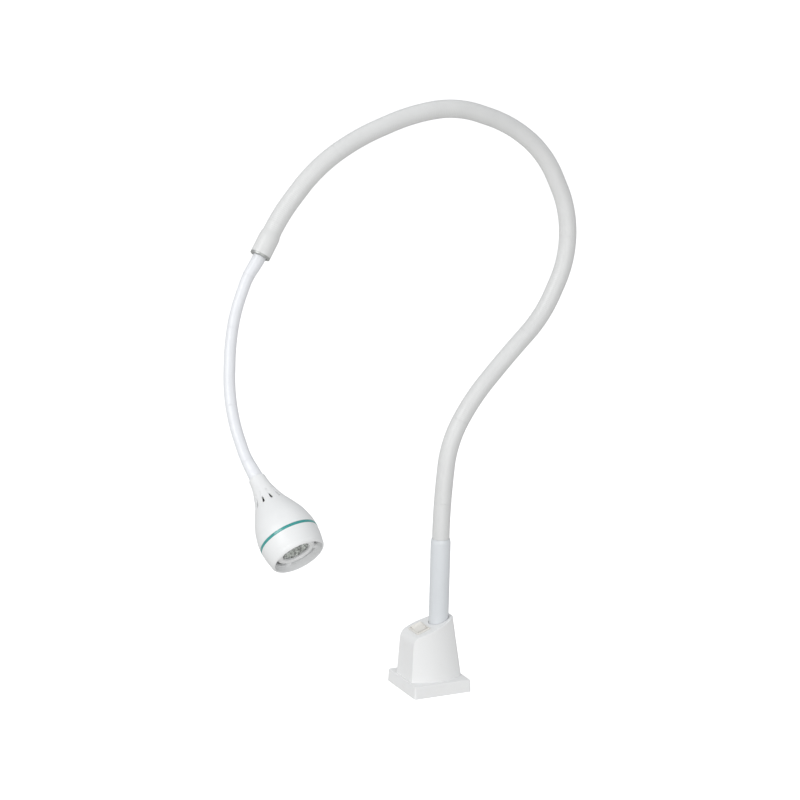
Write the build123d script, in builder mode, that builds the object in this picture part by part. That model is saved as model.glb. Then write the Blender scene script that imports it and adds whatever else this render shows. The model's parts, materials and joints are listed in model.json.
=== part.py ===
from build123d import *
import os
from math import cos, degrees, hypot, radians, sin, sqrt, tan

# Gooseneck examination light: a small switched base, a rigid tube that turns in it, a thick
# gooseneck, a reducer, a thin gooseneck and a bell-shaped LED head.
# Millimetres. +Z is up, the origin is the centre of the base's underside, the switch faces -Y,
# and the thick gooseneck rests in the plane X = 0 as far as its last hinge.

# ---- base ----
flange_side = 63.4
flange_height = 12.7
flange_draft = 3.6
flange_corner = 2.2
wall = 2.5
plate_side = 57.0
plate_thick = 4.0
mount_pitch = 38.0
mount_hole = 2.1
screw_pitch = 47.0
screw_shank = 1.9
screw_head = 3.6
screw_length = 9.0
grommet_height = 7.0
grommet_neck = 2.2
body_top = 78.0
front_low, front_high = -28.3, -25.1
crease_low, crease_high = 17.4, 14.9
flank_low, flank_high = 25.4, 17.4
back_low, back_high = 30.4, 21.5
back_half_low, back_half_high = 14.5, 7.2
deck_slope = 19.4
deck_y, deck_z = -16.6, 60.4
deck_round = 10.0

# ---- swivel tube ----
tube_y = 9.0
tube_outer = 10.0
tube_bore = 9.0
tube_top = 153.8
tube_shoulder = 3.5
tube_neck = 9.25
tube_bottom = 12.0
running_gap = 0.05
socket_outer = 13.5
socket_bore = 11.6
socket_top = 42.0
socket_foot = 15.0
bush_height = 12.0
stop_width = 1.5
stop_reach = 12.6

# ---- rocker switch ----
switch_y = -12.3
bezel_long, bezel_short, bezel_thick = 21.2, 15.2, 1.4
cutout_long, cutout_short = 19.6, 13.2
window_long, window_short = 18.4, 11.4
rocker_half, rocker_width = 8.3, 11.0
rocker_pivot = 2.0
rocker_tilt = 9.0
trunnion = 1.0

# ---- goosenecks: outer radius and bore of the coil, outer radius and bore of its sleeve ----
thick_coil, thick_bore = 7.4, 4.8
thick_sleeve, thick_lining = 8.8, 7.6
thick_straight = 6.0
thick_pitch = 110.0
thick_stub = 66.5
thin_coil, thin_bore = 4.4, 2.6
thin_sleeve, thin_lining = 5.35, 4.6
thin_straight = 5.0
thin_pitch = 74.0
ball_gap = 0.25

# Rest bends of each link between two hinges, as (turn, side) degrees of its equal arcs.
# A turn leans the arm over towards the switch side, and a side bend leans it towards +X.
thick_bends = [
    [(-5, 0)],
    [(-25, 0), (-13, 0)],
    [(-3, 0), (21, 0)],
    [(26, 0), (26, 0)],
    [(26, 0), (20, 0)],
    [(25, 0), (13, 0)],
    [(12, 0), (17.5, 0)],
    [(8.5, 6)],
]
thin_bends = [
    [(-5, -3), (13, 2.5)],
    [(8.5, 7), (3, 10.5)],
    [(6.5, 8), (5, 9.5)],
    [(7.5, 6), (-3, 3.5)],
]

# ---- reducer between the goosenecks ----
reducer_length = 22.0
reducer_outer = 8.5
ring_outer, ring_thick = 9.7, 2.2
sleeve_swell = 9.85
thin_start = 6.05
thin_recess = 3.0
thin_end = 6.5

# ---- head, measured along its axis from the collar ----
collar = 7.9
neck_bore = 6.0
neck_depth = 13.5
shell_end = 66.0
accent_end = 68.8
head_end = 87.2
head_wall = 2.0
accent_radius = 27.6
spigot_outer, spigot_inner = 24.7, 23.0
spigot_end = 75.0
grille_back, grille_front = 78.5, 81.0
light_ledge = 60.0
light_forward = 3.0
lens_radius = 12.6
vent_count = 12
vent_start, vent_end = 17.6, 29.6
vent_narrow, vent_wide = 0.45, 1.2
vent_foot, vent_slope = 11.35, 20.8
vent_depth = 0.8
vent_open = 0.55
head_roll = 36

os.makedirs("parts", exist_ok=True)


def save(part, name):
    """Labels a finished piece and writes its STEP file."""
    part.label = name
    export_step(part, f"parts/{name}.step")


def onward(place, length, turn=0, side=0):
    """The plane at the end of a stretch that starts at a plane and leaves along its normal."""
    bend = radians(hypot(turn, side))
    if bend == 0:
        return Plane(place.origin + place.z_dir * length, place.x_dir, place.z_dir)
    hinge = (place.x_dir * turn + place.y_dir * side).normalized()
    inward = hinge.cross(place.z_dir)
    radius = length / bend
    origin = place.origin + place.z_dir * (radius * sin(bend)) + inward * (radius * (1 - cos(bend)))
    through = Axis((0, 0, 0), hinge)
    return Plane(
        origin,
        place.x_dir.rotate(through, degrees(bend)),
        place.z_dir.rotate(through, degrees(bend)),
    )


def course(start, stretches):
    """The planes at the ends of a run of (length, turn, side) stretches."""
    planes = [start]
    for length, turn, side in stretches:
        planes.append(onward(planes[-1], length, turn, side))
    return planes


def centreline(planes, stretches):
    """Lines and tangent arcs through the planes. Called inside a BuildLine."""
    for here, there, stretch in zip(planes, planes[1:], stretches):
        if stretch[1] == 0 and stretch[2] == 0:
            Line(here.origin, there.origin)
        else:
            TangentArc(here.origin, there.origin, tangent=here.z_dir)


def lengthwise(place):
    """The plane whose local X is a place's radius and whose local Y is its axis."""
    return Plane(place.origin, place.x_dir, -place.y_dir)


def axis_of(place):
    return Axis(place.origin, place.z_dir)


def round_piece(place, outline):
    """A turned piece: a closed (radius, height) outline revolved about a place's axis."""
    with BuildPart() as turned:
        with BuildSketch(lengthwise(place)):
            with BuildLine():
                Polyline(*outline, close=True)
            make_face()
        revolve(axis=axis_of(place))
    return turned


# =====================================================================================
# Base housing
# =====================================================================================
deck_rise = tan(radians(deck_slope))


def body_outline(front, crease, flank, back, back_half, corner):
    """Plan of the body: a flat front, two bowed flanks and a rounded back."""
    with BuildLine() as outline:
        Line((-crease, front), (crease, front))
        ThreePointArc((crease, front), (flank, (front + back) / 2 - 1), (back_half, back))
        Line((back_half, back), (-back_half, back))
        ThreePointArc((-back_half, back), (-flank, (front + back) / 2 - 1), (-crease, front))
    make_face(outline.edges())
    fillet(vertices().group_by(Axis.Y)[-1], radius=corner)


def side_profile(drop, margin):
    """Everything under the deck and behind the rounded brow, seen from the side."""
    lean = (front_high - front_low) / (body_top - flange_height)
    top_at = lambda y: deck_z + (y - deck_y) * deck_rise - drop
    # the brow is where the leaning front wall meets the sloping deck
    brow_y = (front_low + margin + lean * (deck_z - drop - flange_height - deck_y * deck_rise)) / (
        1 - lean * deck_rise
    )
    brow = (brow_y, top_at(brow_y))
    foot = (front_low + margin - lean * (flange_height + 1), -1.0)
    with BuildLine() as outline:
        FilletPolyline(foot, brow, (back_low + 5, top_at(back_low + 5)), radius=deck_round - drop)
        Polyline(
            (back_low + 5, top_at(back_low + 5)),
            (back_low + 5, -1.0),
            foot,
        )
    make_face(outline.edges())


across = Plane(origin=(0, 0, 0), x_dir=(0, 1, 0), z_dir=(1, 0, 0))

with BuildPart() as body_solid:
    with BuildSketch(Plane.XY.offset(flange_height - 1)):
        body_outline(front_low, crease_low, flank_low, back_low, back_half_low, 12)
    with BuildSketch(Plane.XY.offset(body_top)):
        body_outline(front_high, crease_high, flank_high, back_high, back_half_high, 8)
    loft()
    with BuildSketch(across):
        side_profile(0, 0)
    extrude(amount=40, both=True, mode=Mode.INTERSECT)
    crease_edges = edges().filter_by(
        lambda e: abs(e.center().X) > 8 and e.center().Z > flange_height + 2 and e.center().Y < 21
    )
    fillet(crease_edges, radius=0.8)

with BuildPart() as body_core:
    with BuildSketch(Plane.XY.offset(2)):
        body_outline(
            front_low + wall, crease_low - wall / 2, flank_low - wall, back_low - wall,
            back_half_low - wall, 9,
        )
    with BuildSketch(Plane.XY.offset(body_top)):
        body_outline(
            front_high + wall, crease_high - wall / 2, flank_high - wall, back_high - wall,
            back_half_high - wall, 6,
        )
    loft()
    with BuildSketch(across):
        side_profile(wall, wall)
    extrude(amount=40, both=True, mode=Mode.INTERSECT)

deck = Plane(
    origin=(0, switch_y, deck_z + (switch_y - deck_y) * deck_rise),
    x_dir=(1, 0, 0),
    z_dir=(0, -sin(radians(deck_slope)), cos(radians(deck_slope))),
)
screw_spots = [
    (x * screw_pitch / 2, y * screw_pitch / 2) for x in (-1, 1) for y in (-1, 1)
]

with BuildPart() as base_housing:
    with BuildSketch():
        RectangleRounded(flange_side, flange_side, flange_corner)
    extrude(amount=flange_height, taper=flange_draft)
    fillet(faces().sort_by(Axis.Z)[-1].edges(), radius=0.8)
    add(body_solid.part)
    with BuildSketch():
        RectangleRounded(plate_side + 0.4, plate_side + 0.4, 1.0)
    extrude(amount=flange_height - wall - 0.5, mode=Mode.SUBTRACT)
    add(body_core.part, mode=Mode.SUBTRACT)
    with BuildSketch(Plane.XY.offset(plate_thick)):
        with Locations(*screw_spots):
            Circle(3.6)
    extrude(amount=flange_height - wall - plate_thick)
    with Locations(*[(x, y, plate_thick) for x, y in screw_spots]):
        Cylinder(screw_shank, 13, align=(Align.CENTER, Align.CENTER, Align.CENTER), mode=Mode.SUBTRACT)
    with BuildSketch(Plane.XY.offset(40)):
        with Locations((0, tube_y)):
            Circle(tube_outer + 0.5)
    extrude(amount=60, mode=Mode.SUBTRACT)
    with BuildSketch(deck):
        Rectangle(cutout_long, cutout_short)
    extrude(amount=8, both=True, mode=Mode.SUBTRACT)
    with BuildSketch(Plane(origin=(0, 20, grommet_height), x_dir=(1, 0, 0), z_dir=(0, 1, 0))):
        Circle(grommet_neck)
    extrude(amount=20, mode=Mode.SUBTRACT)
save(base_housing.part, "base_housing")


# =====================================================================================
# Base plate, its screws and the cable grommet
# =====================================================================================
socket_spots = [(x, tube_y + y) for x in (-10, 10) for y in (-10, 10)]

with BuildPart() as base_plate:
    with BuildSketch():
        RectangleRounded(plate_side, plate_side, 1.0)
        with Locations(*screw_spots, *socket_spots):
            Circle(screw_shank + 0.2, mode=Mode.SUBTRACT)
        with GridLocations(mount_pitch, mount_pitch, 2, 2):
            Circle(mount_hole, mode=Mode.SUBTRACT)
    extrude(amount=plate_thick)
    with Locations(*[(x, y, 0) for x, y in screw_spots + socket_spots]):
        Cone(
            screw_head + 0.1, screw_shank + 0.2, 2.2,
            align=(Align.CENTER, Align.CENTER, Align.MIN), mode=Mode.SUBTRACT,
        )
save(base_plate.part, "base_plate")

with BuildPart() as plate_screws:
    with Locations(*[(x, y, 0.2) for x, y in screw_spots + socket_spots]):
        Cone(screw_head - 0.1, screw_shank, 1.9, align=(Align.CENTER, Align.CENTER, Align.MIN))
        Cylinder(screw_shank - 0.05, screw_length, align=(Align.CENTER, Align.CENTER, Align.MIN))
        Cylinder(1.1, 0.9, align=(Align.CENTER, Align.CENTER, Align.MIN), mode=Mode.SUBTRACT)
save(plate_screws.part, "plate_screws")

grommet_centre = Plane(origin=(0, flange_side / 2, grommet_height), x_dir=(1, 0, 0), z_dir=(0, 1, 0))
cable_grommet = round_piece(
    grommet_centre,
    [
        (1.3, -4.9),
        (2.65, -4.9),
        (2.65, -3.8),
        (grommet_neck - 0.1, -3.8),
        (grommet_neck - 0.1, -0.2),
        (3.6, -0.2),
        (3.2, 1.0),
        (1.3, 1.0),
    ],
)
save(cable_grommet.part, "cable_grommet")

# =====================================================================================
# Swivel: socket, bushes, friction washer, tube, foot, stop pin and retaining ring
# =====================================================================================
swivel = Plane(origin=(0, tube_y, 0), x_dir=(1, 0, 0), z_dir=(0, 0, 1))
bush_floor = socket_top - bush_height
ledge = 22.0

with BuildPart() as tube_socket:
    with BuildSketch(Plane.XY.offset(plate_thick)):
        with Locations((0, tube_y)):
            RectangleRounded(2 * socket_foot, 2 * socket_foot, 3)
    extrude(amount=3.5)
    with BuildSketch(Plane.XY.offset(plate_thick)):
        with Locations((0, tube_y)):
            Circle(socket_outer)
    extrude(amount=socket_top - plate_thick)
    with BuildSketch(Plane.XY.offset(plate_thick - 1)):
        with Locations((0, tube_y)):
            Circle(5.5)
    extrude(amount=6, mode=Mode.SUBTRACT)
    with BuildSketch(Plane.XY.offset(plate_thick + 3.5)):
        with Locations((0, tube_y)):
            Circle(stop_reach + 0.3)
    extrude(amount=8, mode=Mode.SUBTRACT)
    with BuildSketch(Plane.XY.offset(plate_thick + 11.5)):
        with Locations((0, tube_y)):
            Circle(socket_bore)
    extrude(amount=socket_top, mode=Mode.SUBTRACT)
    # the stop lug stands at the back of the lower chamber
    with BuildSketch(Plane.XY.offset(plate_thick + 3.5)):
        with Locations((0, tube_y + stop_reach - 0.6)):
            Rectangle(2.4, 2.4)
    extrude(amount=7)
    # the lead leaves forwards through a notch in the foot
    with BuildSketch(Plane.XY.offset(plate_thick)):
        with Locations((0, tube_y - socket_outer / 2 - 4)):
            Rectangle(5, socket_outer + 8)
    extrude(amount=3, mode=Mode.SUBTRACT)
    with Locations(*[(x, y, plate_thick + 1) for x, y in socket_spots]):
        Cylinder(screw_shank, 14, mode=Mode.SUBTRACT)
save(tube_socket.part, "tube_socket")


def bush(floor, top, lip):
    """A plastic bush in the socket, bored to run on the tube, with an optional lip on top."""
    bore = tube_outer + running_gap
    outer = socket_bore - 0.02
    rim = [(outer, top - lip), (outer + 1.4, top - lip), (outer + 1.4, top)] if lip else [(outer, top)]
    return round_piece(swivel, [(bore, floor), (outer, floor), *rim, (bore, top)])


lower_bush = bush(15.6, 27.0, 0)
save(lower_bush.part, "lower_bush")
upper_bush = bush(bush_floor, socket_top + 1.6, 1.6)
save(upper_bush.part, "upper_bush")

with BuildPart() as friction_washer:
    with BuildSketch(Plane.XY.offset(plate_thick + 3.5)):
        with Locations((0, tube_y)):
            Circle(9.2)
            Circle(5.6, mode=Mode.SUBTRACT)
    extrude(amount=0.9)
save(friction_washer.part, "friction_washer")

foot_floor = plate_thick + 3.5 + 1.0
tube_foot = round_piece(
    swivel,
    [
        (3.2, foot_floor),
        (9.6, foot_floor),
        (9.6, tube_bottom),
        (tube_bore - 0.02, tube_bottom),
        (tube_bore - 0.02, tube_bottom + 12),
        (3.2, tube_bottom + 12),
    ],
)
with BuildPart() as foot_drilled:
    add(tube_foot.part)
    with BuildSketch(Plane(origin=(0, tube_y, foot_floor + 1.75), x_dir=(1, 0, 0), z_dir=(0, -1, 0))):
        Circle(stop_width / 2 + 0.2)
    extrude(amount=20, mode=Mode.SUBTRACT)
save(foot_drilled.part, "tube_foot")

with BuildPart() as stop_pin:
    with BuildSketch(Plane(origin=(0, tube_y - 5, foot_floor + 1.75), x_dir=(1, 0, 0), z_dir=(0, -1, 0))):
        Circle(stop_width / 2 + 0.2)
    extrude(amount=stop_reach - 0.8 - 5)
save(stop_pin.part, "stop_pin")

lower_tube = round_piece(
    swivel,
    [
        (tube_bore, tube_bottom),
        (tube_outer, tube_bottom),
        (tube_outer, bush_floor - 1.7),
        (tube_outer - 0.5, bush_floor - 1.7),
        (tube_outer - 0.5, bush_floor - 0.5),
        (tube_outer, bush_floor - 0.5),
        (tube_outer, tube_top - tube_shoulder),
        (tube_neck, tube_top),
        (tube_bore, tube_top),
    ],
)
save(lower_tube.part, "lower_tube")

retaining_ring = round_piece(
    swivel,
    [
        (tube_outer - 0.48, bush_floor - 1.6),
        (socket_bore - 0.4, bush_floor - 1.6),
        (socket_bore - 0.4, bush_floor - 0.6),
        (tube_outer - 0.48, bush_floor - 0.6),
    ],
)
save(retaining_ring.part, "retaining_ring")

# =====================================================================================
# Rocker switch
# =====================================================================================
body_depth = 12.5
well_depth = 7.5

with BuildPart() as switch_body:
    with BuildSketch(deck):
        RectangleRounded(bezel_long, bezel_short, 0.6)
    extrude(amount=bezel_thick)
    chamfer(faces().sort_by(Axis.Z)[-1].edges(), length=0.4)
    with BuildSketch(deck):
        Rectangle(cutout_long - 0.2, cutout_short - 0.2)
    extrude(amount=-body_depth)
    with BuildSketch(deck.offset(bezel_thick)):
        Rectangle(window_long, window_short)
    extrude(amount=-(bezel_thick + well_depth), mode=Mode.SUBTRACT)
    with BuildSketch(Plane(deck.origin - deck.z_dir * rocker_pivot, deck.x_dir, deck.y_dir)):
        Circle(trunnion + running_gap)
    extrude(amount=window_short / 2 + 0.5, both=True, mode=Mode.SUBTRACT)
save(switch_body.part, "switch_body")

pivot = deck.origin - deck.z_dir * rocker_pivot
tilt_axis = Axis((0, 0, 0), deck.y_dir)
rocker_side = Plane(pivot, deck.x_dir.rotate(tilt_axis, rocker_tilt), -deck.y_dir)

with BuildPart() as switch_rocker:
    with BuildSketch(rocker_side):
        with BuildLine():
            ThreePointArc((-rocker_half, 5.2), (-4.4, 3.5), (0, 3.4))
            ThreePointArc((0, 3.4), (4.4, 3.5), (rocker_half, 5.2))
            Polyline((rocker_half, 5.2), (6.4, -2.6), (-6.4, -2.6), (-rocker_half, 5.2))
        make_face()
    extrude(amount=rocker_width / 2, both=True)
    fillet(edges().filter_by(Axis(pivot, deck.y_dir)).group_by(Axis.Z)[-1], radius=0.5)
    with BuildSketch(rocker_side):
        Circle(trunnion)
    extrude(amount=window_short / 2 + 0.4, both=True)
save(switch_rocker.part, "switch_rocker")

with BuildPart() as switch_terminals:
    with BuildSketch(deck.offset(-body_depth)):
        with GridLocations(7, 0, 2, 1):
            Rectangle(0.8, 4.8)
    extrude(amount=-5.5)
save(switch_terminals.part, "switch_terminals")

# =====================================================================================
# LED driver
# =====================================================================================
board_face = -20.0
board_thick = 1.6

with BuildPart() as driver_board:
    with Locations((0, board_face - board_thick / 2, plate_thick)):
        Box(25, board_thick, 33, align=(Align.CENTER, Align.CENTER, Align.MIN))
save(driver_board.part, "driver_board")

with BuildPart() as transformer:
    with Locations((0, board_face, 22)):
        Box(15, 11, 3, align=(Align.CENTER, Align.MIN, Align.CENTER))
        Box(9, 11, 13, align=(Align.CENTER, Align.MIN, Align.CENTER))
    with Locations((0, board_face + 1.2, 22)):
        Box(12, 8.6, 8.6, align=(Align.CENTER, Align.MIN, Align.CENTER))
save(transformer.part, "transformer")

with BuildPart() as capacitors:
    with BuildSketch(Plane(origin=(0, board_face, 33), x_dir=(1, 0, 0), z_dir=(0, 1, 0))):
        with GridLocations(9, 0, 2, 1):
            Circle(3.1)
    extrude(amount=9)
    fillet(edges().group_by(Axis.Y)[-1], radius=0.6)
save(capacitors.part, "capacitors")

with BuildPart() as terminal_block:
    with Locations((0, board_face, plate_thick + 1)):
        Box(18, 8, 8.5, align=(Align.CENTER, Align.MIN, Align.MIN))
    chamfer(edges().filter_by(Axis.X).group_by(Axis.Y)[-1].group_by(Axis.Z)[-1], length=2)
    with Locations(*[(x, board_face + 4, plate_thick + 10) for x in (-6, 0, 6)]):
        Cylinder(1.7, 3, mode=Mode.SUBTRACT)
save(terminal_block.part, "terminal_block")


# =====================================================================================
# Gooseneck courses: the planes of every link between its two hinges
# =====================================================================================
def link_stretches(bends, length, lead_in, lead_out):
    """One link: a straight start, equal arcs that share the rest of its length, a straight end."""
    share = (length - lead_in - lead_out) / len(bends)
    arcs = [(share, turn, side) for turn, side in bends]
    before = [(lead_in, 0, 0)] if lead_in else []
    after = [(lead_out, 0, 0)] if lead_out else []
    return before + arcs + after


def chain(start, bends, stub, pitch, straight, tail):
    """The (planes, stretches) of each link of a gooseneck: half links at its ends, full between."""
    links, here = [], start
    for number, link_bends in enumerate(bends):
        first, last = number == 0, number == len(bends) - 1
        length = stub if first or last else pitch
        stretches = link_stretches(
            link_bends, length, 0 if first else straight, tail if last else straight
        )
        planes = course(here, stretches)
        links.append((planes, stretches))
        here = planes[-1]
    return links


def backed(planes, stretches, extra):
    """The same course started a little earlier, on a straight."""
    return [planes[0].offset(-extra)] + planes, [(extra, 0, 0)] + stretches


def run_on(planes, stretches, extra):
    """The same course carried a little further, on a straight."""
    return planes + [planes[-1].offset(extra)], stretches + [(extra, 0, 0)]


reducer_tail = 24.5
tube_end = Plane(origin=(0, tube_y, tube_top), x_dir=(1, 0, 0), z_dir=(0, 0, 1))
thick_chain = chain(tube_end, thick_bends, thick_stub, thick_pitch, thick_straight, reducer_tail)
reducer_face = thick_chain[-1][0][-1]
thin_chain = chain(reducer_face, thin_bends, thin_pitch / 2, thin_pitch, thin_straight, 0)
head = thin_chain[-1][0][-1]


def coil_link(planes, stretches, outer, bore, socket, ball):
    """A stretch of coil: a cup that clears the last link's ball, a bent tube, and its own ball."""
    cup = outer + ball_gap
    cup_start = 0.6 * outer
    with BuildPart() as link:
        with BuildLine() as path:
            centreline(planes, stretches)
        with BuildSketch(planes[0]):
            Circle(outer)
            Circle(bore, mode=Mode.SUBTRACT)
        sweep(path=path.wire())
        if socket:
            hinge_plane = planes[0].offset(-socket)
            with BuildSketch(lengthwise(hinge_plane)):
                with BuildLine():
                    rim = (sqrt(cup**2 - cup_start**2), cup_start)
                    throat = (bore, sqrt(cup**2 - bore**2))
                    RadiusArc(rim, throat, -cup)
                    Polyline(throat, (bore, socket), (outer, socket), (outer, cup_start), rim)
                make_face()
            revolve(axis=axis_of(hinge_plane))
        if ball:
            with BuildSketch(lengthwise(planes[-1])):
                with BuildLine():
                    nose = (bore, sqrt(outer**2 - bore**2))
                    RadiusArc((outer, 0), nose, -outer)
                    Polyline(nose, (bore, 0), (outer, 0))
                make_face()
            revolve(axis=axis_of(planes[-1]))
    return link


def sleeve_section(planes, stretches, outer, lining):
    """A stretch of the plastic sleeve over the coil, from hinge to hinge."""
    with BuildPart() as section:
        with BuildLine() as path:
            centreline(planes, stretches)
        with BuildSketch(planes[0]):
            Circle(outer)
            Circle(lining, mode=Mode.SUBTRACT)
        sweep(path=path.wire())
    return section


def tapered_section(planes, stretches, radii, lining):
    """A stretch of sleeve whose outside goes from radius to radius, plane by plane."""
    with BuildPart() as section:
        for place, radius in zip(planes, radii):
            with BuildSketch(place):
                Circle(radius)
        loft()
        with BuildLine() as path:
            centreline(planes, stretches)
        with BuildSketch(planes[0]):
            Circle(lining)
        sweep(path=path.wire(), mode=Mode.SUBTRACT)
    return section


# =====================================================================================
# Thick gooseneck
# =====================================================================================
coil_seat = 20.0
sleeve_seat = 8.0
last_thick = len(thick_chain) - 1
for number, (planes, stretches) in enumerate(thick_chain):
    core_planes, core_stretches = planes, stretches
    sleeve_planes, sleeve_stretches = planes, stretches
    if number == 0:
        core_planes, core_stretches = backed(planes, stretches, coil_seat)
        sleeve_planes, sleeve_stretches = backed(planes, stretches, sleeve_seat)
    else:
        core_planes, core_stretches = planes[1:], stretches[1:]
    if number == last_thick:
        # the coil ends inside the reducer, and the sleeve swells over it
        tail_start = planes[-2]
        core_planes = core_planes[:-1] + [tail_start.offset(reducer_tail - 12.5)]
        core_stretches = core_stretches[:-1] + [(reducer_tail - 12.5, 0, 0)]
        sleeve_planes, sleeve_stretches = planes[:-1], stretches[:-1]
    core = coil_link(
        core_planes, core_stretches, thick_coil, thick_bore,
        thick_straight if number else 0, number < last_thick,
    )
    save(core.part, f"thick_coil_{number + 1}")
    sleeve = sleeve_section(sleeve_planes, sleeve_stretches, thick_sleeve, thick_lining)
    if number == last_thick:
        with BuildPart() as swollen:
            add(sleeve.part)
            with BuildSketch(lengthwise(tail_start)):
                with BuildLine():
                    Polyline(
                        (thick_lining, 0),
                        (thick_sleeve, 0),
                        (sleeve_swell, 7.5),
                        (sleeve_swell, reducer_tail - 2),
                        (ring_outer - 0.1, reducer_tail),
                        (reducer_outer + 0.1, reducer_tail),
                        (reducer_outer + 0.1, 2.3),
                        (thick_lining, 1.5),
                        close=True,
                    )
                make_face()
            revolve(axis=axis_of(tail_start))
        sleeve = swollen
    save(sleeve.part, f"thick_sleeve_{number + 1}")

# =====================================================================================
# Reducer and its end ring
# =====================================================================================
reducer = round_piece(
    reducer_face,
    [
        (thick_coil + 0.05, -reducer_length),
        (reducer_outer, -reducer_length),
        (reducer_outer, -0.2),
        (7.2, -0.2),
        (7.2, -thin_recess),
        (thin_coil + 0.1, -thin_recess),
        (thin_coil + 0.1, -12.4),
        (thick_coil + 0.05, -12.4),
    ],
)
save(reducer.part, "reducer")

end_ring = round_piece(
    reducer_face,
    [
        (7.2, 0.02),
        (ring_outer, 0.02),
        (ring_outer, ring_thick - 0.5),
        (ring_outer - 0.5, ring_thick),
        (7.6, ring_thick),
        (7.2, ring_thick - 0.4),
    ],
)
save(end_ring.part, "end_ring")

# =====================================================================================
# Thin gooseneck
# =====================================================================================
thin_seat = 11.0
neck_seat = 12.0
last_thin = len(thin_chain) - 1
thin_tapers = {
    0: [thin_start, thin_start, 5.65, thin_sleeve, thin_sleeve],
    last_thin: [thin_sleeve, thin_sleeve, 5.7, thin_end],
}
for number, (planes, stretches) in enumerate(thin_chain):
    core_planes, core_stretches = planes, stretches
    sleeve_planes, sleeve_stretches = planes, stretches
    if number == 0:
        core_planes, core_stretches = backed(planes, stretches, thin_seat)
        sleeve_planes, sleeve_stretches = backed(planes, stretches, thin_recess - 0.2)
    else:
        core_planes, core_stretches = planes[1:], stretches[1:]
    if number == last_thin:
        core_planes, core_stretches = run_on(core_planes, core_stretches, neck_seat)
    core = coil_link(
        core_planes, core_stretches, thin_coil, thin_bore,
        thin_straight if number else 0, number < last_thin,
    )
    save(core.part, f"thin_coil_{number + 1}")
    if number in thin_tapers:
        sleeve = tapered_section(sleeve_planes, sleeve_stretches, thin_tapers[number], thin_lining)
    else:
        sleeve = sleeve_section(sleeve_planes, sleeve_stretches, thin_sleeve, thin_lining)
    save(sleeve.part, f"thin_sleeve_{number + 1}")

# =====================================================================================
# Lead from the driver to the head
# =====================================================================================
lead_radius = 1.25
lead_floor = plate_thick + 1.5
lead_bend = 4.0
lead_tail = 35.0
with BuildPart() as lead:
    with BuildLine() as path:
        Line((0, board_face + 8.1, lead_floor), (0, tube_y - lead_bend, lead_floor))
        TangentArc(
            (0, tube_y - lead_bend, lead_floor), (0, tube_y, lead_floor + lead_bend), tangent=(0, 1, 0)
        )
        Line((0, tube_y, lead_floor + lead_bend), (0, tube_y, tube_top))
        for planes, stretches in thick_chain + thin_chain:
            centreline(planes, stretches)
        Line(head.origin, head.origin + head.z_dir * lead_tail)
    with BuildSketch(Plane(origin=(0, board_face + 8.1, lead_floor), x_dir=(1, 0, 0), z_dir=(0, 1, 0))):
        Circle(lead_radius)
    sweep(path=path.wire())
save(lead.part, "arm_lead")


# =====================================================================================
# Head, built in its own frame: local Z runs from the collar to the light
# =====================================================================================
head_frame = Plane(head.origin, head.x_dir.rotate(Axis((0, 0, 0), head.z_dir), head_roll), head.z_dir)


light_frame = head_frame.offset(light_forward)


def head_ring(outline):
    """A turned piece of the head, from a closed (radius, distance from the collar) outline."""
    return round_piece(head_frame, outline)


def light_ring(outline):
    """A turned piece of the light, from a closed (radius, distance) outline in the light's frame."""
    return round_piece(light_frame, outline)


def bell(inset):
    """The flank of the bell from the collar to the accent ring, as (radius, distance) points."""
    flank = [(8.9, 9.2), (10.8, 16.3), (13.6, 25), (17.4, 33.1), (21.4, 41.2), (24.7, 49.4), (26.7, 57.4)]
    return [(radius - inset, distance) for radius, distance in flank]


with BuildPart() as head_shell:
    with BuildSketch(lengthwise(head_frame)):
        with BuildLine():
            Line((collar - 0.4, 0), (collar, 0.5))
            Spline((collar, 0.5), *bell(0), (accent_radius, shell_end), tangents=((0.06, 1), (0.04, 1)))
            Polyline(
                (accent_radius, shell_end),
                (spigot_outer, shell_end),
                (spigot_outer, spigot_end),
                (spigot_inner, spigot_end),
                (spigot_inner, light_ledge),
                (21.4, light_ledge),
                (21.4, light_ledge - 3),
                (24.1, light_ledge - 5.5),
            )
            Spline((24.1, light_ledge - 5.5), *reversed(bell(head_wall)[2:-1]), (8.4, neck_depth), tangents=((-0.3, -1), (-0.1, -1)))
            Polyline((8.4, neck_depth), (neck_bore, neck_depth), (neck_bore, 0), (collar - 0.4, 0))
        make_face()
    revolve(axis=axis_of(head_frame))
    # teardrop grooves fan out from the neck, each with a vent through its wider end
    for number in range(vent_count):
        angle = 360 / vent_count * (number + 0.5)
        outward = head_frame.x_dir.rotate(Axis((0, 0, 0), head_frame.z_dir), angle)
        along = (head_frame.z_dir * cos(radians(vent_slope)) + outward * sin(radians(vent_slope))).normalized()
        lift = (outward * cos(radians(vent_slope)) - head_frame.z_dir * sin(radians(vent_slope))).normalized()
        narrow_end = head_frame.origin + head_frame.z_dir * vent_start + outward * vent_foot
        groove_floor = Plane(narrow_end - lift * vent_depth, along, lift)
        groove_run = (vent_end - vent_start) / cos(radians(vent_slope))
        with BuildSketch(groove_floor):
            Circle(vent_narrow)
            with Locations((groove_run, 0)):
                Circle(vent_wide)
            make_hull()
        extrude(amount=4, mode=Mode.SUBTRACT)
        with BuildSketch(groove_floor):
            with Locations((groove_run * vent_open, 0)):
                Circle((vent_narrow + vent_wide) / 2 - 0.2)
            with Locations((groove_run, 0)):
                Circle(vent_wide - 0.15)
            make_hull()
        extrude(amount=-4, mode=Mode.SUBTRACT)
save(head_shell.part, "head_shell")

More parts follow.
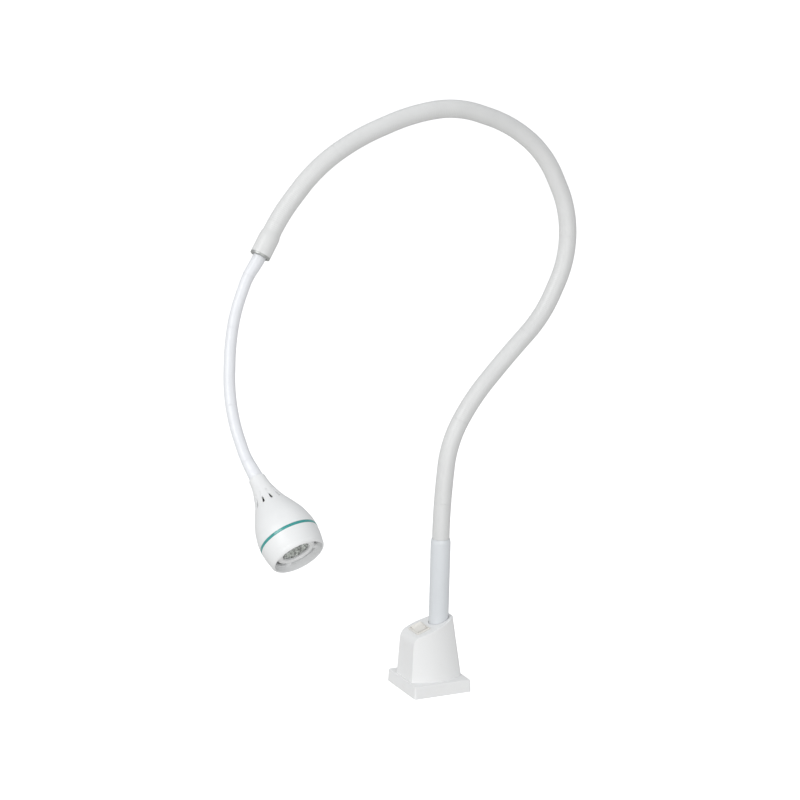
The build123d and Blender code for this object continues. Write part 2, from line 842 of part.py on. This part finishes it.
accent_ring = head_ring(
    [
        (spigot_outer + 0.1, shell_end + 0.02),
        (accent_radius - 0.1, shell_end + 0.02),
        (accent_radius + 0.1, shell_end + 0.3),
        (accent_radius + 0.1, accent_end - 0.3),
        (accent_radius - 0.1, accent_end - 0.02),
        (spigot_outer + 0.1, accent_end - 0.02),
    ],
)
save(accent_ring.part, "accent_ring")

mouth = 22.0
with BuildPart() as front_bezel:
    with BuildSketch(lengthwise(head_frame)):
        with BuildLine():
            Line((spigot_outer + 0.1, accent_end), (accent_radius - 0.1, accent_end))
            ThreePointArc((accent_radius - 0.1, accent_end), (27.1, 75), (25.6, 83))
            ThreePointArc((25.6, 83), (24.9, 85.8), (23.6, head_end))
            Line((23.6, head_end), (23.0, head_end - 0.6))
            Line((23.0, head_end - 0.6), (mouth, grille_front + 0.02))
            Polyline(
                (mouth, grille_front + 0.02),
                (24.0, grille_front + 0.02),
                (24.0, spigot_end + 0.6),
                (spigot_outer + 0.1, spigot_end + 0.6),
                (spigot_outer + 0.1, accent_end),
            )
        make_face()
    revolve(axis=axis_of(head_frame))
save(front_bezel.part, "front_bezel")

slot_inner, slot_outer = 18.0, 21.6
spoke_width, spoke_angle = 4.4, 58
grille_disc = head_ring(
    [
        (lens_radius + 0.1, grille_back),
        (23.9, grille_back),
        (23.9, grille_front),
        (17.4, grille_front),
        (16.8, grille_front + 1.0),
        (15.0, grille_front + 1.4),
        (13.4, grille_front + 1.0),
        (lens_radius + 0.1, grille_front),
    ]
)

with BuildPart() as lens_grille:
    add(grille_disc.part)
    with BuildSketch(head_frame.offset(grille_back - 1)):
        Circle(slot_outer)
        Circle(slot_inner, mode=Mode.SUBTRACT)
        with PolarLocations((slot_inner + slot_outer) / 2, 4, start_angle=spoke_angle):
            Rectangle(8, spoke_width, mode=Mode.SUBTRACT)
        fillet(vertices(), radius=1.2)
    extrude(amount=5, mode=Mode.SUBTRACT)
save(lens_grille.part, "lens_grille")

lens = light_ring(
    [
        (0, 74.6),
        (12.0, 74.6),
        (lens_radius, 75.2),
        (lens_radius, 76.6),
        (11.4, 77.2),
        (8.0, 77.8),
        (4.0, 78.1),
        (0, 78.2),
    ],
)
save(lens.part, "lens")

collimator = light_ring(
    [
        (3.2, 64.4),
        (4.2, 63.9),
        (8.0, 66.4),
        (11.0, 70.0),
        (11.9, 74.4),
        (10.6, 74.4),
        (3.6, 70.0),
        (3.2, 69.0),
    ],
)
save(collimator.part, "collimator")

board_radius, board_front = 16.5, 63.0
with BuildPart() as led_board:
    with BuildSketch(light_frame.offset(61.4)):
        Circle(board_radius)
        with PolarLocations(13.5, 3):
            Circle(1.35, mode=Mode.SUBTRACT)
    extrude(amount=board_front - 61.4)
save(led_board.part, "led_board")

led_emitter = light_ring(
    [
        (0, board_front + 0.02),
        (3.0, board_front + 0.02),
        (3.0, board_front + 0.6),
        (2.4, board_front + 0.7),
        (1.7, board_front + 2.2),
        (0, board_front + 2.8),
    ],
)
save(led_emitter.part, "led_emitter")

with BuildPart() as thermal_pad:
    with BuildSketch(light_frame.offset(61.0)):
        Circle(board_radius - 0.5)
        with PolarLocations(13.5, 3):
            Circle(1.6, mode=Mode.SUBTRACT)
    extrude(amount=0.38)
save(thermal_pad.part, "thermal_pad")

sink_face, sink_back = 61.0, 36.0
with BuildPart() as heat_sink:
    with BuildSketch(light_frame.offset(57.1)):
        Circle(22.8)
    extrude(amount=sink_face - 57.1 - 0.02)
    with BuildSketch(light_frame.offset(sink_back)):
        Circle(8)
    extrude(amount=57.2 - sink_back)
    with BuildSketch(light_frame.offset(40.0)):
        with PolarLocations(11.5, 12):
            Rectangle(9, 1.4)
    extrude(amount=17.2)
    with BuildSketch(light_frame.offset(sink_back - 1)):
        Circle(2.2)
    extrude(amount=40, mode=Mode.SUBTRACT)
    with BuildSketch(light_frame.offset(48)):
        with PolarLocations(13.5, 3):
            Circle(1.25)
    extrude(amount=20, mode=Mode.SUBTRACT)
save(heat_sink.part, "heat_sink")

with BuildPart() as board_screws:
    with BuildSketch(light_frame.offset(51)):
        with PolarLocations(13.5, 3):
            Circle(1.2)
    extrude(amount=board_front + 0.02 - 51)
    with BuildSketch(light_frame.offset(board_front + 0.02)):
        with PolarLocations(13.5, 3):
            Circle(2.2)
            RegularPolygon(0.8, 6, mode=Mode.SUBTRACT)
    extrude(amount=1.2)
save(board_screws.part, "board_screws")

neck_ferrule = head_ring(
    [
        (thin_coil + 0.05, 0.3),
        (neck_bore - 0.1, 0.3),
        (neck_bore - 0.1, 19.0),
        (thin_coil + 0.05, 19.0),
    ],
)
save(neck_ferrule.part, "neck_ferrule")

with BuildPart() as neck_nut:
    with BuildSketch(head_frame.offset(neck_depth + 0.02)):
        RegularPolygon(7.6, 6)
        Circle(neck_bore - 0.05, mode=Mode.SUBTRACT)
    extrude(amount=4.5)
save(neck_nut.part, "neck_nut")
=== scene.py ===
import json
import math

import bmesh
import bpy
from mathutils import Matrix, Quaternion, Vector


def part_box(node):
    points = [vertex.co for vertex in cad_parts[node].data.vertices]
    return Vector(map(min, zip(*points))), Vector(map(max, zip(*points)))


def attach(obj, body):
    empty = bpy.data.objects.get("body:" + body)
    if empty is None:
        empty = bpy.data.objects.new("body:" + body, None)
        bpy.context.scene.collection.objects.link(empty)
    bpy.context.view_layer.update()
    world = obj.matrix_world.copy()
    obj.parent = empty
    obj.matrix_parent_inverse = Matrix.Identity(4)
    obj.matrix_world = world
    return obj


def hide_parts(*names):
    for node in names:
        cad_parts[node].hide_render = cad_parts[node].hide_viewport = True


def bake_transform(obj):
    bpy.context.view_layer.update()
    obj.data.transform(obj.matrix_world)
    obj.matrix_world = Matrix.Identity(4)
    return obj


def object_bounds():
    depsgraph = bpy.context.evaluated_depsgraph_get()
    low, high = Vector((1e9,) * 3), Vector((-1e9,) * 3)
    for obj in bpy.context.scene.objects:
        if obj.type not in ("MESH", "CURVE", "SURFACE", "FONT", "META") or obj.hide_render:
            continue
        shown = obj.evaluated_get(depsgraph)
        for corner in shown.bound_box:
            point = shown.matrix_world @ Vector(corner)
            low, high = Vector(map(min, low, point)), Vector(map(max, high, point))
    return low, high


# Gooseneck examination light. Metres, in the frame of the CAD model. The goosenecks' sleeves are
# built here; the other CAD nodes get materials.
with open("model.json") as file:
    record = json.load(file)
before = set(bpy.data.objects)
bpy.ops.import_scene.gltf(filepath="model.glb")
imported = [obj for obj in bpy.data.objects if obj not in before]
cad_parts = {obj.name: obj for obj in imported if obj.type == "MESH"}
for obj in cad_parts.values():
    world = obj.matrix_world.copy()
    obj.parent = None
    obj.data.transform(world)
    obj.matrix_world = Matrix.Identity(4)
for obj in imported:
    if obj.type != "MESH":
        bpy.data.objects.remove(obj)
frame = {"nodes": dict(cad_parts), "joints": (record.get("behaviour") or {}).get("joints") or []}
cad_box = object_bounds()
MM = 0.001
nodes = frame["nodes"]
joints = {j["name"]: j for j in frame["joints"]}
scene = bpy.context.scene
scene.view_settings.view_transform = "Standard"
scene.view_settings.look = "None"

# ---- camera ----
CAMERA_PLACE = Vector((1.707593, -0.883090, 0.697480))
CAMERA_RIGHT = Vector((0.438550, 0.898439, 0.021963))
CAMERA_UP = Vector((-0.193734, 0.070646, 0.978507))
CAMERA_AHEAD = Vector((-0.877577, 0.433379, -0.205040))
LENS_MM, SENSOR_MM = 90.0, 36.0

camera_data = bpy.data.cameras.new("camera")
camera_data.lens = LENS_MM
camera_data.sensor_width = SENSOR_MM
camera_data.clip_start = 0.05
camera_data.clip_end = 500.0
camera = bpy.data.objects.new("camera", camera_data)
scene.collection.objects.link(camera)
turn = Matrix((CAMERA_RIGHT, CAMERA_UP, -CAMERA_AHEAD)).transposed()
camera.matrix_world = Matrix.Translation(CAMERA_PLACE) @ turn.to_4x4()
scene.camera = camera


# =====================================================================================
# Materials
# =====================================================================================
class Build:
    """A node material around one Principled shader, with short calls for its textures."""

    def __init__(self, name):
        self.material = bpy.data.materials.new(name)
        self.material.use_nodes = True
        self.tree = self.material.node_tree
        self.shader = self.tree.nodes["Principled BSDF"]
        self.place = self.node("ShaderNodeTexCoord").outputs["Object"]

    def node(self, kind, **values):
        made = self.tree.nodes.new(kind)
        for key, value in values.items():
            if hasattr(made, key):
                setattr(made, key, value)
            else:
                made.inputs[key].default_value = value
        return made

    def link(self, source, target):
        self.tree.links.new(source, target)

    def set(self, **values):
        for key, value in values.items():
            self.shader.inputs[key.replace("_", " ")].default_value = value

    def stretched(self, scale):
        mapping = self.node("ShaderNodeMapping")
        mapping.inputs["Scale"].default_value = scale
        self.link(self.place, mapping.inputs["Vector"])
        return mapping.outputs["Vector"]

    def noise(self, scale, detail=3.0, rough=0.55, vector=None):
        made = self.node("ShaderNodeTexNoise", Scale=scale, Detail=detail, Roughness=rough)
        self.link(vector or self.place, made.inputs["Vector"])
        return made.outputs["Fac"]

    def spread(self, source, low, high, start=0.3, end=0.7):
        made = self.node("ShaderNodeMapRange")
        for key, value in (("From Min", start), ("From Max", end), ("To Min", low), ("To Max", high)):
            made.inputs[key].default_value = value
        self.link(source, made.inputs["Value"])
        return made.outputs["Result"]

    def mix(self, amount, first, second):
        made = self.node("ShaderNodeMix", data_type="RGBA")
        for socket, value in ((made.inputs[6], first), (made.inputs[7], second)):
            if isinstance(value, tuple):
                socket.default_value = (*value, 1.0)
            else:
                self.link(value, socket)
        self.link(amount, made.inputs[0])
        return made.outputs[2]

    def bump(self, source, distance, strength=1.0, under=None):
        made = self.node("ShaderNodeBump")
        made.inputs["Strength"].default_value = strength
        made.inputs["Distance"].default_value = distance
        self.link(source, made.inputs["Height"])
        if under is not None:
            self.link(under, made.inputs["Normal"])
        return made.outputs["Normal"]

    def finish(self, colour=None, rough=None, normal=None):
        for source, socket in ((colour, "Base Color"), (rough, "Roughness"), (normal, "Normal")):
            if source is not None:
                self.link(source, self.shader.inputs[socket])
        return self.material


def toned(colour, share):
    return tuple(c * share for c in colour)


def moulded(name, colour, rough, grain=2600.0, depth=0.00002, soil=0.955, sheen=0.0):
    """Moulded plastic: a fine spark-eroded grain, faint flow marks and a trace of grime."""
    b = Build(name)
    flow = b.noise(14.0, 4.0, 0.6, b.stretched((1.0, 1.0, 0.35)))
    clean = b.mix(b.spread(flow, 0.0, 1.0, 0.35, 0.7), colour, toned(colour, 0.985))
    grime = b.spread(b.noise(90.0, 6.0, 0.72), 0.0, 1.0, 0.58, 0.82)
    worn = b.mix(grime, clean, tuple(c * soil * t for c, t in zip(colour, (1.0, 0.995, 0.98))))
    shine = b.spread(b.noise(60.0, 5.0, 0.65), rough - 0.05, rough + 0.07)
    fine = b.noise(grain, 2.0, 0.5)
    broad = b.noise(120.0, 2.0, 0.4)
    b.set(IOR=1.5, Coat_Weight=sheen, Coat_Roughness=0.25)
    return b.finish(worn, shine, b.bump(fine, depth, 0.6, b.bump(broad, 0.00003, 0.25)))


def painted(name, colour, rough):
    """Powder coat on steel: orange peel, and tiny darker specks."""
    b = Build(name)
    tone = b.mix(b.spread(b.noise(35.0, 4.0), 0.0, 1.0), colour, toned(colour, 0.97))
    specks = b.spread(b.noise(1500.0, 1.0, 0.5), 0.0, 1.0, 0.66, 0.8)
    specked = b.mix(specks, tone, toned(colour, 0.93))
    peel = b.bump(b.noise(620.0, 2.0, 0.5), 0.00004, 0.5)
    shine = b.spread(b.noise(200.0, 3.0), rough - 0.04, rough + 0.05)
    b.set(IOR=1.5, Coat_Weight=0.15, Coat_Roughness=0.2)
    return b.finish(specked, shine, peel)


def vinyl(name, colour, rough, stretch=0.965):
    """Soft PVC sleeve: faint streaks along it, a slightly waxy gloss and handling marks."""
    b = Build(name)
    streak = b.noise(55.0, 5.0, 0.6, b.stretched((1.0, 1.0, 0.5)))
    tone = b.mix(b.spread(streak, 0.0, 1.0, 0.35, 0.68), colour, toned(colour, stretch))
    handled = b.spread(b.noise(26.0, 7.0, 0.75), 0.0, 1.0, 0.6, 0.85)
    marked = b.mix(handled, tone, tuple(c * t for c, t in zip(colour, (0.93, 0.925, 0.9))))
    shine = b.spread(b.noise(140.0, 4.0, 0.6), rough - 0.06, rough + 0.08)
    skin = b.bump(b.noise(1700.0, 3.0, 0.6), 0.000015, 0.5)
    b.set(IOR=1.53, Subsurface_Weight=0.06, Subsurface_Radius=(0.002, 0.002, 0.002))
    b.set(Subsurface_Scale=0.5, Coat_Weight=0.12, Coat_Roughness=0.3)
    return b.finish(marked, shine, skin)


def metal(name, colour, rough, lines=(1.0, 1.0, 1.0), scale=900.0, tarnish=0.82):
    """Bare or plated metal: turning or brushing lines, cloudy tarnish, varied gloss."""
    b = Build(name)
    cloud = b.spread(b.noise(70.0, 6.0, 0.7), 0.0, 1.0, 0.4, 0.75)
    tone = b.mix(cloud, colour, toned(colour, tarnish))
    brushed = b.noise(scale, 3.0, 0.6, b.stretched(lines))
    shine = b.spread(brushed, rough - 0.06, rough + 0.1)
    b.set(Metallic=1.0)
    return b.finish(tone, shine, b.bump(brushed, 0.00001, 0.4))


def rubber(name, colour, rough):
    b = Build(name)
    bloom = b.spread(b.noise(300.0, 5.0, 0.7), 0.0, 1.0, 0.45, 0.8)
    tone = b.mix(bloom, colour, tuple(c + 0.03 for c in colour))
    shine = b.spread(b.noise(500.0, 3.0), rough - 0.08, rough + 0.08)
    return b.finish(tone, shine, b.bump(b.noise(2000.0, 2.0), 0.00002, 0.5))


def board(name, colour, tracks):
    """Printed circuit board: solder mask over a maze of tracks."""
    b = Build(name)
    cells = b.node("ShaderNodeTexVoronoi", Scale=420.0)
    cells.distance = "MANHATTAN"
    b.link(b.place, cells.inputs["Vector"])
    lines = b.spread(cells.outputs["Distance"], 0.0, 1.0, 0.35, 0.42)
    tone = b.mix(lines, colour, tracks)
    shine = b.spread(b.noise(400.0, 3.0), 0.25, 0.4)
    return b.finish(tone, shine, b.bump(lines, 0.00002, 0.5))


def accent(name):
    """Tinted translucent plastic ring: depth of colour varies at random over it."""
    b = Build(name)
    tone = b.mix(b.spread(b.noise(160.0, 4.0, 0.6), 0.0, 1.0), (0.03, 0.265, 0.25), (0.045, 0.33, 0.31))
    shine = b.spread(b.noise(350.0, 3.0), 0.16, 0.3)
    b.set(IOR=1.49, Coat_Weight=0.5, Coat_Roughness=0.08, Subsurface_Weight=0.15)
    b.set(Subsurface_Radius=(0.001, 0.002, 0.002), Subsurface_Scale=0.5)
    return b.finish(tone, shine, b.bump(b.noise(900.0, 2.0), 0.00001, 0.4))


def optic(name):
    """Clear acrylic with faint moulding ripples."""
    b = Build(name)
    b.set(Base_Color=(0.93, 0.96, 0.94, 1.0), Transmission_Weight=1.0, IOR=1.49)
    shine = b.spread(b.noise(500.0, 3.0), 0.02, 0.08)
    return b.finish(None, shine, b.bump(b.noise(700.0, 2.0), 0.00003, 0.5))


def faceted(name):
    """Bright plating over small facets, with a painted reflection: each facet's colour is painted light
    or dark to stand for the light and dark of its reflections through the lens.
    """
    b = Build(name)
    cells = b.node("ShaderNodeTexVoronoi", Scale=620.0)
    b.link(b.place, cells.inputs["Vector"])
    parts = b.node("ShaderNodeSeparateColor")
    b.link(cells.outputs["Color"], parts.inputs["Color"])
    # painted reflection: a random light or dark colour for each facet
    painted_reflection = b.spread(parts.outputs["Red"], 0.0, 1.0, 0.25, 0.75)
    tone = b.mix(painted_reflection, (0.10, 0.105, 0.095), (0.74, 0.75, 0.72))
    shine = b.spread(b.noise(500.0, 3.0), 0.12, 0.3)
    b.set(Metallic=0.85)
    return b.finish(tone, shine, b.bump(cells.outputs["Distance"], 0.0002, 0.8))


def phosphor(name):
    b = Build(name)
    tone = b.mix(b.spread(b.noise(2500.0, 2.0), 0.0, 1.0), (0.80, 0.66, 0.18), (0.70, 0.56, 0.12))
    shine = b.spread(b.noise(900.0, 2.0), 0.2, 0.35)
    b.set(Coat_Weight=0.6, Coat_Roughness=0.05)
    return b.finish(tone, shine, b.bump(b.noise(3000.0, 2.0), 0.00001, 0.4))


HOUSING = (0.84, 0.843, 0.843)
looks = {
    "housing": moulded("housing white", HOUSING, 0.46),
    "head": moulded("head white", (0.76, 0.767, 0.77), 0.38, 3000.0, 0.000012, 0.965),
    "ivory": moulded("switch ivory", (0.79, 0.768, 0.725), 0.27, 3200.0, 0.000008, 0.95, 0.25),
    "tube": painted("tube paint", (0.70, 0.724, 0.748), 0.36),
    "thick": vinyl("thick sleeve", (0.70, 0.703, 0.70), 0.36),
    "thin": vinyl("thin sleeve", (0.765, 0.777, 0.805), 0.34, 0.975),
    "zinc": metal("zinc plate", (0.60, 0.61, 0.62), 0.36),
    "aluminium": metal("machined aluminium", (0.66, 0.67, 0.68), 0.3, (1.0, 1.0, 12.0)),
    "ring": metal("plated ring", (0.50, 0.51, 0.50), 0.42, (4.0, 4.0, 4.0), 1400.0, 0.92),
    "brass": metal("brass", (0.72, 0.52, 0.26), 0.3, (1.0, 1.0, 8.0)),
    "reflector": faceted("bright reflector"),
    "bush": moulded("bush plastic", (0.80, 0.80, 0.76), 0.5),
    "rubber": rubber("black rubber", (0.03, 0.03, 0.032), 0.6),
    "pad": rubber("thermal pad", (0.30, 0.32, 0.35), 0.7),
    "black": moulded("black component", (0.03, 0.03, 0.033), 0.4),
    "terminal": moulded("green terminal", (0.08, 0.33, 0.16), 0.45),
    "board_green": board("driver board", (0.03, 0.17, 0.07), (0.05, 0.26, 0.11)),
    "board_white": board("lamp board", (0.78, 0.79, 0.77), (0.68, 0.69, 0.66)),
    "accent": accent("accent ring"),
    "optic": optic("clear optic"),
    "phosphor": phosphor("phosphor"),
}


def dress(obj, look):
    obj.data.materials.clear()
    obj.data.materials.append(looks[look])
    return obj


CAD_LOOKS = {
    "housing": "base_housing",
    "head": "head_shell front_bezel lens_grille",
    "ivory": "switch_body switch_rocker",
    "tube": "lower_tube",
    "zinc": "base_plate plate_screws retaining_ring stop_pin friction_washer board_screws",
    "aluminium": "tube_socket tube_foot reducer heat_sink",
    "ring": "end_ring",
    "brass": "neck_ferrule neck_nut switch_terminals",
    "bush": "lower_bush upper_bush",
    "rubber": "cable_grommet",
    "pad": "thermal_pad",
    "black": "transformer capacitors",
    "terminal": "terminal_block",
    "board_green": "driver_board",
    "board_white": "led_board",
    "accent": "accent_ring",
    "optic": "lens",
    "reflector": "collimator",
    "phosphor": "led_emitter",
}
for look, names in CAD_LOOKS.items():
    for node in names.split():
        dress(nodes[node], look)


# =====================================================================================
# Courses of the goosenecks, from the same driving values as the CAD (millimetres here)
# =====================================================================================
THICK = {
    "bends": [
        [(-5, 0)],
        [(-25, 0), (-13, 0)],
        [(-3, 0), (21, 0)],
        [(26, 0), (26, 0)],
        [(26, 0), (20, 0)],
        [(25, 0), (13, 0)],
        [(12, 0), (17.5, 0)],
        [(8.5, 6)],
    ],
    "stub": 66.5,
    "pitch": 110.0,
    "straight": 6.0,
    "tail": 24.5,
}
THIN = {
    "bends": [
        [(-5, -3), (13, 2.5)],
        [(8.5, 7), (3, 10.5)],
        [(6.5, 8), (5, 9.5)],
        [(7.5, 6), (-3, 3.5)],
    ],
    "stub": 37.0,
    "pitch": 74.0,
    "straight": 5.0,
    "tail": 0.0,
}
TUBE_TOP_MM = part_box("lower_tube")[1].z / MM
TUBE_Y_MM = joints["arm_swivel"]["pos_m"][1] / MM


class Place:
    """A point of a centreline with its frame: x and y across, z along."""

    def __init__(self, at, x, z):
        self.at, self.x, self.z = at, x, z
        self.y = z.cross(x)

    def onward(self, length, turn=0.0, side=0.0):
        bend = math.radians(math.hypot(turn, side))
        if bend == 0:
            return Place(self.at + self.z * length, self.x, self.z)
        hinge = (self.x * turn + self.y * side).normalized()
        radius = length / bend
        at = (
            self.at
            + self.z * (radius * math.sin(bend))
            + hinge.cross(self.z) * (radius * (1 - math.cos(bend)))
        )
        spin = Quaternion(hinge, bend)
        return Place(at, spin @ self.x, spin @ self.z)


class Course:
    """A gooseneck's centreline by arc length, and the lengths at which its hinges stand."""

    def __init__(self, start, plan):
        self.starts, self.stretches, self.hinges = [], [], []
        here, along, last = start, 0.0, len(plan["bends"]) - 1
        for number, bends in enumerate(plan["bends"]):
            length = plan["stub"] if number in (0, last) else plan["pitch"]
            lead_in = plan["straight"] if number else 0.0
            lead_out = plan["tail"] if number == last else plan["straight"]
            share = (length - lead_in - lead_out) / len(bends)
            run = [(lead_in, 0, 0)] + [(share, *b) for b in bends] + [(lead_out, 0, 0)]
            for stretch in run:
                if stretch[0]:
                    self.starts.append((along, here))
                    self.stretches.append(stretch)
                    here = here.onward(*stretch)
                    along += stretch[0]
            self.hinges.append(along)
        self.end, self.length = here, along

    def at(self, s):
        if s <= 0:
            return self.starts[0][1].onward(s)
        if s >= self.length:
            return self.end.onward(s - self.length)
        index = max(i for i, (along, _) in enumerate(self.starts) if along <= s)
        along, here = self.starts[index]
        length, turn_by, side = self.stretches[index]
        share = (s - along) / length
        return here.onward(s - along, turn_by * share, side * share)


tube_end = Place(Vector((0, TUBE_Y_MM, TUBE_TOP_MM)), Vector((1, 0, 0)), Vector((0, 0, 1)))
thick_course = Course(tube_end, THICK)
thin_course = Course(thick_course.end, THIN)


def swept(name, course, stations, radius_at, around=40):
    """A closed tube along a course: one ring of vertices per station, capped at both ends."""
    mesh = bmesh.new()
    rings = []
    for s in stations:
        here, radius = course.at(s), radius_at(s)
        ring = []
        for k in range(around):
            angle = 2 * math.pi * k / around
            across = here.x * math.cos(angle) + here.y * math.sin(angle)
            ring.append(mesh.verts.new((here.at + across * radius) * MM))
        rings.append(ring)
    for low, high in zip(rings, rings[1:]):
        for k in range(around):
            face = mesh.faces.new((low[k], low[(k + 1) % around], high[(k + 1) % around], high[k]))
            face.smooth = True
    for ring, s, flip in ((rings[0], stations[0], True), (rings[-1], stations[-1], False)):
        middle = mesh.verts.new(course.at(s).at * MM)
        for k in range(around):
            pair = (ring[k], ring[(k + 1) % around])
            mesh.faces.new((middle, *(reversed(pair) if flip else pair)))
    data = bpy.data.meshes.new(name)
    mesh.to_mesh(data)
    mesh.free()
    obj = bpy.data.objects.new(name, data)
    scene.collection.objects.link(obj)
    return obj


def eased(share):
    share = min(1.0, max(0.0, share))
    return share * share * (3 - 2 * share)


# ---- thick sleeve ----
THICK_R, SWELL_R, RING_PITCH, RING_DEPTH = 8.8, 9.85, 1.8, 0.13
SWELL_START = thick_course.length - THICK["tail"]
SWELL_RISE = 7.5


def thick_radius(s):
    over = s - SWELL_START
    swell = (SWELL_R - THICK_R) * eased(over / SWELL_RISE)
    groove = (1 - abs(math.sin(math.pi * s / RING_PITCH))) ** 1.5
    fade = 1 - eased((over + 4.0) / 8.0)
    lip = 0.3 * eased((s - thick_course.length + 1.4) / 1.4)
    return THICK_R + swell - RING_DEPTH * groove * fade - lip


THIN_R, THIN_START_R, THIN_END_R = 5.5, 6.35, 6.6
THIN_RING_PITCH, THIN_RING_DEPTH = 1.3, 0.035
THIN_TAPER, FLARE_LENGTH = 36.0, 32.0


def thin_radius(s):
    start = (THIN_START_R - THIN_R) * (1 - eased(s / THIN_TAPER))
    flare = (THIN_END_R - THIN_R) * eased((s - thin_course.length + FLARE_LENGTH) / FLARE_LENGTH) ** 1.3
    groove = (1 - abs(math.sin(math.pi * s / THIN_RING_PITCH))) ** 1.5
    return THIN_R + start + flare - THIN_RING_DEPTH * groove


def even(low, high, step):
    count = max(2, round((high - low) / step))
    return [low + (high - low) * i / count for i in range(count + 1)]


def on_ridge(s, pitch):
    """The crest of a ring nearest to a length, so that a seam between pieces falls on it."""
    return (math.floor(s / pitch) + 0.5) * pitch


FIRST_CUT_SHIFT = 4.0


def gooseneck(prefix, course, plan, radius_at, pitch, step, bodies, look, start, end, reach):
    """The sleeve in pieces: rigid ends, and one piece over each hinge between mid-links, left where it
    is built.
    """
    hinges = course.hinges[:-1]
    middles = [on_ridge((a + b) / 2, pitch) for a, b in zip(hinges, hinges[1:])]
    first = on_ridge(hinges[0] - plan["stub"] / 2 + FIRST_CUT_SHIFT, pitch)
    last = on_ridge(hinges[-1] + plan["stub"] / 2, pitch)
    cuts = [start, first, *middles, last, end]
    for number, (low, high) in enumerate(zip(cuts, cuts[1:])):
        obj = swept(f"{prefix}_sleeve_{number}", course, even(low, high, step), radius_at)
        dress(obj, look)
        if number == 0:
            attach(obj, bodies[0])
            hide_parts(f"{prefix}_sleeve_1", f"{prefix}_coil_1")
        elif number == len(cuts) - 2:
            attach(obj, bodies[-1])
            whole = len(bodies)
            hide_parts(f"{prefix}_sleeve_{whole}", f"{prefix}_coil_{whole}")
        else:
            hinge = course.at(hinges[number - 1])
            near = course.at(max(low, hinges[number - 1] - reach)).at
            far = course.at(min(high, hinges[number - 1] + reach)).at
            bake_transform(obj)
            if number < len(bodies) - 1:
                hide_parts(f"{prefix}_sleeve_{number + 1}", f"{prefix}_coil_{number + 1}")
    return cuts


thick_bodies = ["stem"] + [f"thick_link_{n}" for n in range(2, 8)] + ["reducer_link"]
thin_bodies = ["reducer_link", "thin_link_2", "thin_link_3", "head"]
SLEEVE_SEAT, THIN_SEAT = 8.0, 2.8
THICK_REACH, THIN_REACH = 34.0, 22.0
gooseneck(
    "thick", thick_course, THICK, thick_radius, RING_PITCH, RING_PITCH / 4, thick_bodies,
    "thick", -SLEEVE_SEAT, thick_course.length, THICK_REACH,
)
gooseneck(
    "thin", thin_course, THIN, thin_radius, THIN_RING_PITCH, THIN_RING_PITCH / 3, thin_bodies,
    "thin", -THIN_SEAT, thin_course.length, THIN_REACH,
)
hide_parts("arm_lead")

# =====================================================================================
# Floor and light
# =====================================================================================
floor_data = bpy.data.meshes.new("floor")
FLOOR_HALF = 150.0
corners = ((-1, -1), (1, -1), (1, 1), (-1, 1))
floor_data.from_pydata([(x * FLOOR_HALF, y * FLOOR_HALF, 0) for x, y in corners], [], [(0, 1, 2, 3)])
floor = bpy.data.objects.new("floor", floor_data)
scene.collection.objects.link(floor)
floor.visible_diffuse = False
floor.visible_glossy = False
floor.visible_transmission = False
floor_build = Build("pale floor")
floor_build.set(Roughness=0.9, Emission_Color=(1.0, 1.0, 1.0, 1.0), Emission_Strength=0.6)
floor_tone = floor_build.mix(floor_build.noise(3.0), (0.86, 0.86, 0.86), (0.87, 0.87, 0.87))
floor_data.materials.append(floor_build.finish(floor_tone))

WORLD_STRENGTH = 0.64
WORLD_LOW, WORLD_HIGH = (0.98, 0.98, 0.97), (0.95, 0.965, 0.98)
world = bpy.data.worlds.new("studio")
scene.world = world
world.use_nodes = True
tree = world.node_tree
sky = tree.nodes["Background"]
sky.inputs["Strength"].default_value = WORLD_STRENGTH
bearing = tree.nodes.new("ShaderNodeTexCoord")
parts = tree.nodes.new("ShaderNodeSeparateXYZ")
tree.links.new(bearing.outputs["Generated"], parts.inputs["Vector"])
height = tree.nodes.new("ShaderNodeMapRange")
for key, value in (("From Min", -0.6), ("From Max", 0.7), ("To Min", 0.0), ("To Max", 1.0)):
    height.inputs[key].default_value = value
tree.links.new(parts.outputs["Z"], height.inputs["Value"])
shade = tree.nodes.new("ShaderNodeMix")
shade.data_type = "RGBA"
shade.inputs[6].default_value = (*WORLD_LOW, 1.0)
shade.inputs[7].default_value = (*WORLD_HIGH, 1.0)
tree.links.new(height.outputs["Result"], shade.inputs[0])
tree.links.new(shade.outputs[2], sky.inputs["Color"])


def area_light(name, place, target, size, power, colour=(1.0, 1.0, 1.0)):
    data = bpy.data.lights.new(name, "AREA")
    data.shape = "DISK"
    data.size = size
    data.energy = power
    data.color = colour
    obj = bpy.data.objects.new(name, data)
    scene.collection.objects.link(obj)
    obj.location = place
    obj.rotation_euler = (Vector(target) - Vector(place)).to_track_quat("-Z", "Y").to_euler()
    return obj


middle = (cad_box[0] + cad_box[1]) / 2
area_light("key", (0.9, -2.3, 1.6), middle, 1.6, 26.0)
area_light("front fill", (2.5, -0.6, 0.4), middle, 1.8, 15.5)
area_light("top", (-0.2, 0.1, 2.8), middle, 1.6, 5.0)
area_light("low fill", (1.2, -0.9, 0.12), (0.03, -0.03, 0.06), 0.5, 2.2)
